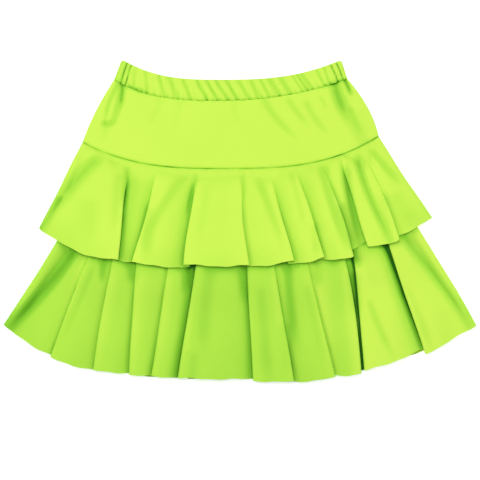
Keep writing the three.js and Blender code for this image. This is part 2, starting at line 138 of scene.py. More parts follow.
# %% [markdown]
# ## Folds
#
# A ruffle is a fan of straight columns from its seam to its hem. A fold is six columns that go in under
# an edge, round, back out and over, like a flat S. The S opens towards the hem, so a fold fades out
# before it reaches the seam.
#
# Each row of the tables below is one fold, from left to right: where its edge starts on the seam and
# ends on the hem, how its line bows, which side lies on top (1 right, -1 left), how high and how deep it
# is, how far the hem hangs below its line on the left and right of it, where down it starts, how much
# shade is painted into its recess, and how much more painted shade it has at the hem than at the seam.
#
# A side turns up from the side seam in seven columns. It keeps how far in they lie at the hem, their
# levels there, and how much lighter its rim is painted, a painted highlight.
#
# A tier is a whole ruffle: its seam and hem lines, its level at both, how quickly it stands up, how far a
# panel swells and hangs down between two folds, its two sides with their bows, and its folds.

# %% Folds of the front
Fold = namedtuple(
    "Fold", "seam hem bow top lift tuck left_drop right_drop start deep gain", defaults=[0.1, 0])
Side = namedtuple("Side", "inset level rim", defaults=[0])
Tier = namedtuple(
    "Tier", "seam hem seam_level hem_level growth crown sag left_side right_side side_bow folds")
SIDE = SEAM_LEVEL["side"]

UPPER_FRONT = Tier(
    YOKE_SEAM, UPPER_HEM, SEAM_LEVEL["yoke"], 7.6, 0.58, 1.4, 1.8,
    Side([0, 0, 1.5, 5, 10, 20, 34], [SIDE, 2.4, 4.2, 4.6, 2.8, 5.0, 8.6]),
    Side([0, 0, 1.5, 4, 9, 15, 22], [SIDE, 2.2, 3.8, 4.6, 5.2, 6.4, 7.8]),
    (0, -1.0),
    [
        Fold(-138.1, -150.9, -0.5, -1, 8.0, 7, -4.1, -4.3, 0.08, 0.35),
        Fold(-103, -134.4, 1, 1, 7.5, 7, -5.4, -4.8, 0.05, 0.12),
        Fold(-51.3, -70.4, -2.5, 1, 8.2, 8, -1.4, -5.1, 0.1, 0.2),
        Fold(5, 12, -4, -1, 7.0, 8, -3.4, -2.2, 0.08, -0.1, -0.2),
        Fold(36, 67.5, 0.5, -1, 8.0, 8, -5.3, -1.4, 0.12, 0.0, -0.2),
        Fold(67.5, 104.8, 2, -1, 7.6, 7, -3.6, -1.6, 0.05, -0.05, -0.4),
        Fold(102, 141, 3, -1, 9.8, 8, 4.2, -5.0, 0.05, -0.1),
        Fold(124, 157.8, -1, 1, 9.8, 8, -12, -2.1, 0.0, -0.05, -0.1),
        Fold(150, 197.8, 4, -1, 8.0, 7, 4.5, -1.9, 0.15, -0.25),
    ],
)
LOWER_FRONT = Tier(
    UNDERSKIRT_END, LOWER_HEM, SEAM_LEVEL["lower"], 1.2, 0.68, 1.2, 0.4,
    Side([0, 0, 1.5, 5, 11, 19, 32], [SIDE, 3.2, 6.2, 7.2, 4.2, 2.2, 4.4], -0.08),
    Side([0, 0, 1.5, 5, 11, 20, 34], [SIDE, 3.0, 6.0, 7.2, 5.4, 4.0, 7.0]),
    (3, 4),
    [
        Fold(-160, -236.6, -1, 1, 5.0, 5, 0, 2.8, 0.1, -0.35, 0.3),
        Fold(-141, -183, -4, 1, 7.0, 6, -0.6, -0.5, 0, -0.2),
        Fold(-121, -138.4, -3, 1, 7.4, 7, -5.2, -2.6, 0, -0.12),
        Fold(-80, -110.6, 1, 1, 7.7, 7, -3.8, -3.8, 0, -0.2, 0.2),
        Fold(-43, -77.5, -0.8, 1, 9.6, 8, -3.6, -3.4, 0, 0.2, 0.0),
        Fold(6.5, 16.4, -1.5, 1, 7.7, 7, -2.4, -0.2, 0, 0.05),
        Fold(32, 67.4, 0, -1, 8.6, 7, 1.4, 2.4, 0.1, -0.2),
        Fold(70, 119, -1, -1, 7.0, 7, 1.6, -0.7, 0, -0.45),
        Fold(110, 151.2, 8, -1, 9.6, 7, 2.3, -1, 0, 0.2, 1.0),
        Fold(130, 155.0, 2, 1, 9.6, 7, -1, -0.4, 0, 0.6, 0.6),
        Fold(160, 230.4, 1, 1, 9.6, 8, -4.2, 3.4, 0, 1.15, -1.7),
    ],
)
print(len(UPPER_FRONT.folds), "and", len(LOWER_FRONT.folds), "folds on the front")

# %% [markdown]
# The back is cut like the front, and its folds are lower because the whole skirt lies on them.

# %% Folds of the back
UPPER_BACK = UPPER_FRONT._replace(
    hem_level=5.1, crown=0, growth=GROWTH["upper"],
    left_side=Side([0, 0, 1.5, 5, 10, 20, 34], [SIDE, 2.2, 4.0, 4.8, 5.4, 6.6, 8.0]),
    right_side=Side([0, 0, 1.5, 5, 10, 20, 34], [SIDE, 2.2, 4.0, 4.4, 3.8, 5.4, 8.0]),
    folds=[
        Fold(-150, -186, -2, 1, 5.0, 6, -1, 1, 0.05),
        Fold(-108, -128, 2, 1, 5.0, 6, -2, 0.5, 0.05),
        Fold(-72, -92, 0, -1, 5.0, 6, 1, -2, 0.1),
        Fold(-30, -44, 3, -1, 5.0, 5, 0, -2, 0.05),
        Fold(20, 26, -2, 1, 5.0, 6, -2, 1.5, 0.08),
        Fold(62, 82, 2, 1, 5.0, 6, -2, 0.5, 0.05),
        Fold(98, 124, 0, -1, 5.0, 6, 1, -2, 0.05),
        Fold(136, 180, 3, -1, 5.0, 6, 2, -1, 0.05),
    ],
)
LOWER_BACK = LOWER_FRONT._replace(
    crown=0, growth=GROWTH["lower"],
    left_side=Side([0, 0, 1.5, 5, 11, 20, 34], [SIDE, 2.6, 5.2, 6.2, 4.4, 3.4, 5.6]),
    right_side=Side([0, 0, 1.5, 5, 11, 20, 34], [SIDE, 2.6, 5.2, 6.2, 4.4, 3.0, 5.0]),
    folds=[
        Fold(-150, -222, 2, -1, 5.5, 6, -1, -3.5, 0),
        Fold(-122, -168, -2, -1, 5.5, 6, -2.5, -4, 0),
        Fold(-88, -122, 2, 1, 5.5, 6, -4, -2, 0),
        Fold(-48, -66, 0, 1, 5.5, 6, -4, -1.5, 0),
        Fold(-8, -14, 2, -1, 5.5, 6, -3, -4, 0),
        Fold(34, 48, -2, -1, 5.5, 6, -1.5, -4, 0),
        Fold(72, 102, 0, -1, 5.5, 6, -2.5, -4, 0),
        Fold(106, 152, 2, 1, 5.5, 6, -4, -2, 0),
        Fold(140, 208, -2, 1, 5.5, 6, -4, -1, 0),
    ],
)
print(len(UPPER_BACK.folds), "and", len(LOWER_BACK.folds), "folds on the back")

# %% [markdown]
# ## From folds to columns
#
# A column keeps eleven numbers: the x of its line at the seam and at the hem, its distance from that line
# at both, its level at both, the line's bow, the hem's drop, where down the ruffle it starts to move, its
# painted light (painted shade in a recess, painted highlight on a lip or rim), and how much the painted
# shade gains towards the hem. A fold is six of them.

# %% Columns of a fold
LINE_SEAM, LINE_HEM, OFF_SEAM, OFF_HEM, LEVEL_SEAM, LEVEL_HEM, BOW, DROP, START, PAINTED_LIGHT, SHADE_GAIN = range(11)
# The S as shares of the fold's depth and height, for a fold with its right side on top
FOLD_SHAPE = [(0.45, 0), (1, 0.02), (1, 0.47), (0, 0.53), (0, 0.98), (0.6, 1)]
FOLD_SPACING = 1.5  # between a fold's columns at the seam
LIP_HIGHLIGHT = -0.14  # painted highlight: the edge of a fold is painted lighter, as it catches more light


def fold_columns(fold, tier):
    shape, drops = FOLD_SHAPE, (fold.left_drop, fold.right_drop)
    if fold.top == -1:
        shape, drops = [(-x, rise) for x, rise in reversed(FOLD_SHAPE)], drops[::-1]
    columns = []
    for n, (x, rise) in enumerate(shape):
        hidden = max(0, 1 - 2 * rise)  # 1 at the bottom of the fold, 0 from half its height up
        # painted shade in the recess of a fold, and a painted highlight along its lip
        painted_light = fold.deep * hidden + LIP_HIGHLIGHT * (rise > 0.9)
        level = tier.hem_level + rise * fold.lift
        columns.append([fold.seam, fold.hem, (n - 2.5) * FOLD_SPACING, x * fold.tuck, tier.seam_level,
                        level, fold.bow, lerp(*drops, rise), fold.start, painted_light, fold.gain * hidden])
    return columns


print("a fold has", len(FOLD_SHAPE), "columns")

# %% [markdown]
# The first and last columns of a ruffle turn up from its side seams.

# %% Columns of a side
SIDE_INSET = [0, 0, 1.2, 3.5, 6, 9, 13]  # how far in a side's columns lie at the seam
SIDE_RISE = [0, 0.5, 1, 1, 1, 1, 1]  # how much of the full level each has reached there
RIM_COLUMNS = 4  # its outermost columns, which take the painted highlight of its rim


def side_columns(side, end, tier):
    """Columns that turn up from the left side seam, end 0, or from the right one, end 1."""
    seam_x, hem_x = ((line.left, line.right)[end][0] for line in (tier.seam, tier.hem))
    inwards = (1, -1)[end]
    columns = []
    for n, (inset, level) in enumerate(zip(side.inset, side.level)):
        seam_level = lerp(SIDE, tier.seam_level, SIDE_RISE[n])
        # the outermost columns carry the painted highlight of the rim
        columns.append([seam_x, hem_x, inwards * (CLOTH / 2 + SIDE_INSET[n]), inwards * (CLOTH / 2 + inset),
                        seam_level, level, tier.side_bow[end], 0, 0, side.rim * (n < RIM_COLUMNS), 0])
    return columns


print("a side has", len(SIDE_INSET), "columns")

# %% [markdown]
# Between two folds lies a panel. It is nearly straight from fold to fold, and stays high beside the fold
# that it lies on. The painted shade of the recess beside it fades along it.

# %% Columns of a panel, and of a whole ruffle
PANEL_STEP = 19  # between a panel's columns at the hem
STAYS_HIGH = 2.3  # how long a panel keeps the height of the fold that it lies on
PAINTED_LIGHT_FADE = 3  # how quickly the painted shade of a recess fades along a narrow panel
NARROW_PANEL = 25


def panel_columns(left, right, tier):
    """Columns between two folds. The panel keeps its height where it lies on a fold."""
    width = right[LINE_HEM] + right[OFF_HEM] - left[LINE_HEM] - left[OFF_HEM]
    count = max(1, round(width / PANEL_STEP))
    columns = []
    for n in range(count):
        t = (n + 1) / (count + 1)
        column = [lerp(a, b, t) for a, b in zip(left, right)]
        high_left = left[LEVEL_HEM] > right[LEVEL_HEM]
        ease = t**STAYS_HIGH if high_left else 1 - (1 - t) ** STAYS_HIGH
        swell = math.sin(math.pi * t)
        column[LEVEL_HEM] = lerp(left[LEVEL_HEM], right[LEVEL_HEM], ease) + tier.crown * swell
        column[DROP] += tier.sag * swell
        # the painted shade of the recesses, and the painted highlight of the lips, fade along the panel
        tail = PAINTED_LIGHT_FADE * max(1, width / NARROW_PANEL)
        for key in (PAINTED_LIGHT, SHADE_GAIN):
            column[key] = left[key] * (1 - t) ** tail + right[key] * t**tail
        columns.append(column)
    return columns


def ruffle_columns(tier):
    groups = [side_columns(tier.left_side, 0, tier)]
    groups += [fold_columns(fold, tier) for fold in tier.folds]
    groups += [side_columns(tier.right_side, 1, tier)[::-1]]
    columns = []
    for group, following in zip(groups, groups[1:]):
        columns += group + panel_columns(group[-1], following[0], tier)
    return np.array(columns + groups[-1])


upper_controls = ruffle_columns(UPPER_FRONT)
print("upper ruffle:", len(upper_controls), "columns")

# %% [markdown]
# A cubic B-spline runs across the skirt and is pulled towards each of the columns. It rounds every corner
# of the S, as cloth does.

# %% Round the columns
def rounded(controls, spacing):
    """Columns along a cubic B-spline, about one spacing apart at the hem."""
    padded = np.vstack([2 * controls[0] - controls[1], controls, 2 * controls[-1] - controls[-2]])
    hem = np.stack([controls[:, LINE_HEM] + controls[:, OFF_HEM], controls[:, LEVEL_HEM]], axis=1)
    lengths = np.linalg.norm(np.diff(hem, axis=0), axis=1)
    samples = []
    for k, length in enumerate(lengths):
        steps = int(np.clip(math.ceil(length / spacing), 3, 24))
        for t in np.arange(steps) / steps:
            inner = (3 * t**3 - 6 * t**2 + 4, -3 * t**3 + 3 * t**2 + 3 * t + 1)
            weights = np.array([(1 - t) ** 3, *inner, t**3]) / 6
            samples.append(weights @ padded[k:k + 4])
    samples.append(controls[-1])
    return np.array(samples)


print("upper ruffle:", len(rounded(upper_controls, 1.7)), "columns when rounded")

# %% [markdown]
# ## Creases
#
# A crease is a soft trough or ridge along a curve, from a start past a bend to an end. It is deepest
# near its start and fades at its far end. Negative depths are ridges. A crease also paints shade into the
# colour, and a ridge a painted highlight. The short wide ones below the upper hem are the hollows in which
# the cloth goes up under it, and their painted shade stands for the shadow of the hem on the cloth below.

# %% Creases of the yoke and the front ruffles
Crease = namedtuple("Crease", "start bend end width depth")
YOKE_CREASES = [
    Crease((-152, 172), (-166, 152), (-170, 120), 2.6, 1.5),
    Crease((-147, 178), (-147, 160), (-150, 142), 2.6, 1.8),
    Crease((-147, 178), (-149, 144), (-162, 120), 5.2, 1.7),
    Crease((-171, 125), (-166, 117), (-154, 129), 3.4, 1.6),
    Crease((-168, 124), (-169, 112), (-173, 96), 8, 0.7),
    Crease((-98, 154), (-103, 136), (-122, 110), 5, 0.6),
    Crease((-74, 152), (-76, 136), (-86, 104), 6, 0.55),
    Crease((-7, 148), (-5, 136), (-2, 120), 7, 0.6),
    Crease((30, 153), (42, 128), (78, 98), 5.4, 1.2),
    Crease((60, 154), (70, 137), (90, 116), 5.0, 1.1),
    Crease((82, 152), (92, 126), (114, 107), 5.2, 1.1),
    Crease((101, 157), (105, 148), (110, 139), 3, 0.8),
    Crease((116, 188), (121, 152), (136, 128), 6.0, 2.2),
    Crease((120, 168), (134, 128), (172, 76), 9.5, 1.2),
    Crease((131, 178), (136, 168), (140, 157), 2.4, 3.4),
    Crease((137, 142), (142, 130), (152, 110), 3.0, 1.0),
    Crease((150, 140), (158, 124), (164, 108), 7, 0.5),
]
UPPER_CREASES = [
    Crease((-174, 82), (-204, 60), (-237, 12), 7.5, 2.3),
    Crease((-224, 30), (-236, 11), (-264, -38), 4.2, 2.6),
    Crease((-172, 86), (-161, 80), (-152, 66), 5, 0.5),
    Crease((-140, 68), (-143, 46), (-146, 18), 3.4, 1.7),
    Crease((-55, 60), (-60, 38), (-67, 4), 3.6, 1.7),
    Crease((4, 62), (3, 46), (4, 28), 3.2, 0.9),
    Crease((-186, 26), (-189, 0), (-192, -24), 14, 0.5),
    Crease((-62, 64), (-100, 22), (-125, -34), 7, 1.1),
    Crease((-44, 44), (-50, 8), (-55, -34), 8, 0.6),
    Crease((24, 50), (43, 8), (57, -40), 6, 1.2),
    Crease((64, 62), (72, 34), (84, -20), 5, 0.8),
    Crease((102, 74), (112, 28), (133, -34), 6.2, 2.2),
    Crease((132, 68), (135, 30), (153, -42), 5.2, 2.6),
    Crease((147, 84), (150, 44), (198, -44), 5, 2.6),
    Crease((163, 90), (180, 71), (203, 45), 4.5, 1.4),
    Crease((192, 34), (202, 12), (216, -8), 13, 0.7),
    Crease((-148, 60), (-151, 28), (-155, -30), 8, 1.2),
    Crease((-113, 20), (-116, -14), (-118, -50), 9, 1.3),
    Crease((92, -4), (95, -24), (98, -46), 7, 1.2),
    Crease((127, 20), (133, -10), (142, -40), 8, 1.6),
    Crease((176, 34), (182, 10), (188, -20), 8, 1.0),
]
LOWER_CREASES = [
    Crease((-208, -38), (-231, -74), (-325, -168), 7.8, 3.1),
    Crease((-184, -58), (-203, -104), (-233, -168), 6, 1.1),
    Crease((-38, -62), (-50, -110), (-46, -172), 13, 1.2),
    Crease((58, -50), (60, -100), (70, -162), 7.5, 1.7),
    Crease((84, -84), (92, -118), (105, -184), 5.0, 1.0),
    Crease((116, -50), (121, -84), (126, -118), 8, 0.8),
    Crease((160, -98), (172, -132), (194, -174), 5, 1.0),
    Crease((150, -60), (158, -90), (162, -116), 9, -0.5),
    Crease((202, -16), (251, -72), (300, -146), 6.4, 2.7),
    Crease((-168, -46), (-169, -58), (-172, -80), 6, 1.4),
    Crease((-134, -50), (-134, -62), (-136, -80), 7, 1.3),
    Crease((-63, -52), (-64, -68), (-68, -92), 7, 1.6),
    Crease((4, -56), (6, -72), (8, -104), 7, 1.5),
    Crease((93, -50), (95, -64), (97, -84), 6, 1.5),
    Crease((-60, -164), (-61, -184), (-62, -210), 9, 0.9),
    Crease((23, -80), (27, -140), (34, -214), 13, 1.2),
    Crease((56, -130), (58, -160), (61, -200), 7, 0.9),
    Crease((140, -36), (144, -46), (147, -58), 5, 2.4),
    Crease((142, -66), (145, -90), (148, -122), 8, 1.2),
    Crease((208, -84), (220, -114), (242, -176), 8, 1.6),
]
print(len(YOKE_CREASES), "creases on the yoke,",
      len(UPPER_CREASES), "and", len(LOWER_CREASES), "on the ruffles")

# %% [markdown]
# The back has a few wide creases of its own. A crease's depth at a point depends on how far the point is
# from the nearest stretch of its curve.

# %% Creases of the back, and their depth at a point
UPPER_BACK_CREASES = [
    Crease((-170, 84), (-200, 56), (-232, 10), 8, 2.0),
    Crease((-70, 66), (-104, 20), (-118, -30), 8, 1.4),
    Crease((34, 64), (42, 20), (52, -34), 7, 1.5),
    Crease((110, 78), (118, 40), (140, -10), 7, 1.6),
]
LOWER_BACK_CREASES = [
    Crease((-196, -24), (-226, -62), (-268, -130), 10, 2.0),
    Crease((-60, -62), (-70, -110), (-76, -170), 10, 1.4),
    Crease((44, -60), (58, -110), (66, -170), 9, 1.5),
    Crease((150, -40), (178, -90), (200, -150), 9, 1.6),
]
CREASE_SHADE = 0.13  # how much shade is painted into the colour for each mm of a crease's depth
CREASE_STEPS = 14
PAST_ENDS = 0.12  # how far a crease runs on past its two ends, as a share of its length
WAVES = [(0.061, 0.023, 0.4), (-0.034, 0.047, 1.9), (0.097, -0.041, 3.1), (0.022, 0.083, 5.0)]


def creased(creases, x, y):
    """How deep the creases are at each point."""
    total = np.zeros(np.broadcast(x, y).shape)
    for c in creases:
        t = np.linspace(-PAST_ENDS, 1 + PAST_ENDS, CREASE_STEPS + 1)[:, None]
        start, bend, end = (np.array(point) for point in (c.start, c.bend, c.end))
        curve = (1 - t) ** 2 * start + 2 * t * (1 - t) * bend + t * t * end
        nearest, along = np.full(total.shape, np.inf), np.zeros(total.shape)
        for n, (a, b) in enumerate(zip(curve, curve[1:])):
            edge = b - a
            share = np.clip(((x - a[0]) * edge[0] + (y - a[1]) * edge[1]) / (edge @ edge), 0, 1)
            away = np.hypot(x - a[0] - share * edge[0], y - a[1] - share * edge[1])
            along = np.where(away < nearest, lerp(t[n, 0], t[n + 1, 0], share), along)
            nearest = np.minimum(away, nearest)
        fade = smooth((along + PAST_ENDS) / 0.22) * smooth((1 + PAST_ENDS - along) / 0.5)
        total += c.depth * np.exp(-((nearest / c.width) ** 2)) * fade
    return total


def uneven(x, y, seed):
    """A slow unevenness, about 1 at most, from a few crossing waves."""
    return sum(np.sin(a * x + b * y + c + seed * (k + 1.7)) for k, (a, b, c) in enumerate(WAVES)) / 3


print(len(UPPER_BACK_CREASES) + len(LOWER_BACK_CREASES), "creases on the back")

# %% [markdown]
# ## Turning a grid of points into a sheet of knit
#
# The grid is the middle of the cloth. Its own UV map measures the cloth in metres, so the knit follows
# every fold, and Solidify gives the sheet its thickness.

# %% Sheets
GRIDS = {}  # the grid of each sheet, by its name
PAINTED_LIGHT_BY_SHEET = {}  # the painted shade of each point (below 0, a painted highlight), before the folds shade it


def sheet_object(name, grid, painted_light):
    GRIDS[name] = grid
    PAINTED_LIGHT_BY_SHEET[name] = np.broadcast_to(painted_light, grid.shape[:2])
    rows, columns = grid.shape[:2]
    index = np.arange(rows * columns).reshape(rows, columns)
    corners = (index[:-1, :-1], index[1:, :-1], index[1:, 1:], index[:-1, 1:])
    quads = np.stack(corners, axis=-1).reshape(-1, 4)
    mesh = bpy.data.meshes.new(name)
    mesh.from_pydata((grid.reshape(-1, 3) * MM).tolist(), [], quads.tolist())
    mesh.polygons.foreach_set("use_smooth", [True] * len(mesh.polygons))
    across = np.linalg.norm(np.diff(grid, axis=1), axis=-1)
    down = np.linalg.norm(np.diff(grid, axis=0), axis=-1)
    u = np.concatenate([[0], np.cumsum(across[rows // 2])])
    v = np.concatenate([[0], np.cumsum(down[:, columns // 2])])
    uv = np.stack(np.broadcast_arrays(u[None, :], -v[:, None]), axis=-1).reshape(-1, 2) * MM
    layer = mesh.uv_layers.new(name="cloth")
    layer.data.foreach_set("uv", uv[quads.reshape(-1)].reshape(-1))
    obj = bpy.data.objects.new(name, mesh)
    bpy.context.scene.collection.objects.link(obj)
    wall = obj.modifiers.new("thickness", "SOLIDIFY")
    wall.thickness = CLOTH * MM
    wall.offset = 0
    return obj


def spaced(length, step, ends):
    """Shares from 0 to 1 about a step apart, with closer ones at both ends, in mm from the end."""
    inner = np.linspace(0, 1, max(2, round(length / step)) + 1)
    near = np.array(ends) / length
    margin = near.max() * 1.2
    inner = inner[(inner > margin) & (inner < 1 - margin)]
    return np.concatenate([[0], near, inner, 1 - near[::-1], [1]])


print("a row of a 120 mm ruffle every 2.4 mm:", len(spaced(120, 2.4, (0.3, 0.8, 1.6, 3))), "rows")

# %% [markdown]
# ## The ruffles
#
# Each ruffle is its rounded columns, drawn down from seam to hem. A column moves away from its line on
# the way down, which opens the folds, and its hem end runs a little unevenly.

# %% The lines of a ruffle
COLUMN_WANDER = 0.6  # how far a column strays from its line
RIPPLES = ((0.5, 9), (0.35, 4.1))  # depths of the small waves along a hem, and their lengths


def ruffle_lines(tier, columns, v, seed):
    """The x and y of the columns at every share v from seam to hem, and how far they have moved."""
    seam_x = columns[:, LINE_SEAM] + columns[:, OFF_SEAM]
    hem_x = columns[:, LINE_HEM] + columns[:, OFF_HEM]
    start = columns[:, START]
    moved = np.clip((v - start) / (1 - start), 0, 1)
    x = lerp(columns[:, LINE_SEAM], columns[:, LINE_HEM], v)
    x = x + lerp(columns[:, OFF_SEAM], columns[:, OFF_HEM], moved)
    wander = COLUMN_WANDER * np.sin(7 * v + columns[:, LINE_HEM] / 9)
    x = x + (columns[:, BOW] + wander) * 4 * v * (1 - v)
    ripple = sum(size * np.sin(hem_x / span + (n + 1) * seed) for n, (size, span) in enumerate(RIPPLES))
    top = line_at(tier.seam, seam_x) - SEAM_GAP
    y = lerp(top, line_at(tier.hem, hem_x) - columns[:, DROP] + ripple, v)
    return x, y, moved, seam_x, hem_x


upper_hem_y = ruffle_lines(UPPER_FRONT, rounded(upper_controls, 1.7), 1, 1)[1]
print("the upper hem reaches down to y", round(float(upper_hem_y.min())), "mm")

# %% [markdown]
# The cloth dips into the seam with small puckers, and its creases are pressed in. Shade is painted into
# its colour in the seam, in the recess of each fold, in the creases and over the left and middle of the
# lower ruffle, a highlight is painted along the edge of each fold, and the colour is a little darker
# towards the hem.

# %% Build the ruffles
HEM_DARKENING = 0.06  # the colour is a little darker towards a hem
SEAM_DIP = 0.9  # the cloth sinks this much where it goes into the yoke seam
PUCKER = 0.22  # depth of the small puckers below a seam
UNEVENNESS = {"ruffle": 0.45, "yoke": 0.25}
RIDGE = -0.6  # a ridge higher than this adds no more painted highlight
LAST_FOLDS = (120, 190)  # from where to where the painted shade of a tier changes


def seam_shade(x, away):
    """Painted shade along the uneven line where two pieces meet."""
    strength = 0.42 + 0.18 * np.sin(x / 34 + 4.2) + 0.14 * np.sin(x / 8.5) + 0.1 * np.sin(x / 3.7)
    return strength * np.exp(-((away / 0.75) ** 2))


def ruffle(name, tier, front, creases, tier_shade, spacing, row_step, seed):
    columns = rounded(ruffle_columns(tier), spacing)
    length = float(line_at(tier.seam, 0) - line_at(tier.hem, 0))
    v = spaced(length, row_step, (0.3, 0.8, 1.6, 3))[:, None]
    x, y, moved, seam_x, hem_x = ruffle_lines(tier, columns, v, seed)
    down = v * length
    level = lerp(columns[:, LEVEL_SEAM], columns[:, LEVEL_HEM], moved**tier.growth)
    inset = np.minimum(np.abs(hem_x - hem_x[0]), np.abs(hem_x - hem_x[-1]))
    inside = smooth((inset - 3) / 14)
    pressed = creased(creases, x, y) * smooth(v / 0.12)
    depth = pressed - UNEVENNESS["ruffle"] * uneven(x, y, seed) * smooth(v / 0.3)
    puckers = PUCKER * np.sin(seam_x / 2.6 + np.sin(seam_x / 19 + seed)) * np.exp(-down / 9)
    dip = SEAM_DIP * np.exp(-((down / 1.8) ** 2))
    level = level - (depth + dip + puckers) * inside
    level = np.maximum(level, (tier.seam_level - 1.0 + 0.6 * smooth(v / 0.08)) * inside)
    # painted shade of the tier, of its creases, of its fold recesses and of its seam, and darker towards
    # the hem
    to_right = smooth((x - LAST_FOLDS[0]) / (LAST_FOLDS[1] - LAST_FOLDS[0]))
    # painted shade of the recesses beside the folds, with the lips' painted highlight, more towards the hem
    recess = (columns[:, PAINTED_LIGHT] + columns[:, SHADE_GAIN] * (v - 0.5)) * smooth(moved / 0.2)
    painted_light = lerp(*tier_shade, to_right) + CREASE_SHADE * np.maximum(pressed, RIDGE) + recess
    painted_light = painted_light + seam_shade(x, down) + HEM_DARKENING * smooth((v - 0.7) / 0.3)
    return sheet_object(name, place(x, y, level, front), painted_light)


UPPER_SHADE = (0.05, 0.05)  # painted shade of a tier, left of its last folds and right of them
LOWER_SHADE = (0.27, 0.0)
upper_front = ruffle("upper-ruffle-front", UPPER_FRONT, True, UPPER_CREASES, UPPER_SHADE, 1.7, 2.4, 1)
lower_front = ruffle("lower-ruffle-front", LOWER_FRONT, True, LOWER_CREASES, LOWER_SHADE, 2.0, 3.0, 2)
upper_back = ruffle("upper-ruffle-back", UPPER_BACK, False, UPPER_BACK_CREASES, UPPER_SHADE, 2.6, 3.4, 3)
lower_back = ruffle("lower-ruffle-back", LOWER_BACK, False, LOWER_BACK_CREASES, LOWER_SHADE, 3.0, 4.2, 4)
for piece in (upper_front, lower_front, upper_back, lower_back):
    print(piece.name, len(piece.data.polygons), "faces")

# %% [markdown]
# ## The yoke and the underskirt
#
# Both are plain pieces between two of the crossing lines. Their sides turn up from the side seams in a
# quarter circle, and those of the yoke bow out over the hips.

# %% Plain pieces
SIDE_STEPS = (0.02, 0.1, 0.25, 0.5, 0.85, 1.3, 1.9, 2.8)  # closer columns near a side seam
HIP = (3.0, 6.0)  # how far the left and right side bow out


def turned(inset, radius=1.9):
    """How far a side has turned up from the side seam, 0, to its full level, 1."""
    return np.sqrt(1 - (1 - np.clip(inset / radius, 0, 1)) ** 2)


def plain(top, bottom, step, trim=0.0, bow=(0, 0)):
    """The x, y, v and inset of a plain piece between two lines."""
    width = top.right[0] - top.left[0]
    share = spaced(width, step, SIDE_STEPS)
    v = spaced(float(line_at(top, 0) - line_at(bottom, 0)), step, (0.4, 1.0, 1.8))[:, None]
    edge = CLOTH / 2 + trim
    top_x = lerp(top.left[0] + edge, top.right[0] - edge, share)
    bottom_x = lerp(bottom.left[0] + edge, bottom.right[0] - edge, share)
    outwards = np.where(share < 0.5, -bow[0], bow[1]) * np.abs(2 * share - 1)
    x = lerp(top_x, bottom_x, v) + 4 * v * (1 - v) * outwards
    y = lerp(line_at(top, top_x) - SEAM_GAP, line_at(bottom, bottom_x) + SEAM_GAP, v)
    inset = np.minimum(share, 1 - share) * width
    return x, y, v, inset


print("a side has turned up", np.round(turned(np.array([0, 0.5, 1.9])), 2), "at 0, 0.5 and 1.9 mm")

# %% [markdown]
# The yoke swells a little between its seams and sinks into them. Its creases start at the gathers of the
# waistband, and most shade is painted along its upper edge where the elastic pulls hardest.

# %% Build the yoke and the underskirt
YOKE_PUFF = 1.6
YOKE_LENGTH = 85  # from seam to seam


def pulled(x):
    """1 where the elastic pulls hardest on the casing seam, near its ends."""
    return np.exp(-(((x + 128) / 15) ** 2)) + np.exp(-(((x - 117) / 12) ** 2))


def yoke(name, front):
    x, y, v, inset = plain(CASING_SEAM, YOKE_SEAM, 2.0 if front else 4.0, bow=HIP)
    if front:
        down, up = v * YOKE_LENGTH, (1 - v) * YOKE_LENGTH
        level = lerp(SEAM_LEVEL["yoke_top"], SEAM_LEVEL["yoke"], v) + YOKE_PUFF * np.sin(np.pi * v)
        dip = 0.4 * np.exp(-((down / 2.2) ** 2)) + 1.3 * np.exp(-((up / 1.3) ** 2))
        puckers = 0.25 * np.sin(x / 2.1 + 1.5 * np.sin(x / 17)) * np.exp(-down / 7)
        pressed = creased(YOKE_CREASES, x, y)
        level = level - dip - puckers - pressed - UNEVENNESS["yoke"] * uneven(x, y, 6)
        # painted shade in the creases, in the seam, and along the upper edge where the elastic pulls
        painted_light = CREASE_SHADE * pressed + seam_shade(x, up) + 0.5 * pulled(x) * np.exp(-((down / 1.6) ** 2))
    else:
        level = SEAM_LEVEL["yoke"] + 1 + 0 * x
        painted_light = 0.0
    return sheet_object(name, place(x, y, lerp(SIDE, level, turned(inset)), front), painted_light)


def underskirt(name, front):
    x, y, v, inset = plain(YOKE_SEAM, UNDERSKIRT_END, 5.0, trim=4)
    level = SEAM_LEVEL["underskirt"] - 0.5 * smooth(1 - v / 0.1)
    # the underskirt takes the painted shade of the lower ruffle's left part
    return sheet_object(name, place(x, y, lerp(SIDE, level, turned(inset)), front), LOWER_SHADE[0])


yoke_front = yoke("yoke-front", True)
yoke_back = yoke("yoke-back", False)
underskirt_front = underskirt("underskirt-front", True)
underskirt_back = underskirt("underskirt-back", False)
for piece in (yoke_front, yoke_back, underskirt_front, underskirt_back):
    print(piece.name, len(piece.data.polygons), "faces")

# %% [markdown]
# ## The waistband
#
# The casing is one sheet folded over the elastic. Gathers cross it: deep ones lie by the side seams, and
# shallow slanting ones between. Each states how far from its side seam it starts at the top edge, how far
# it leans on the way down, its width and its depth.

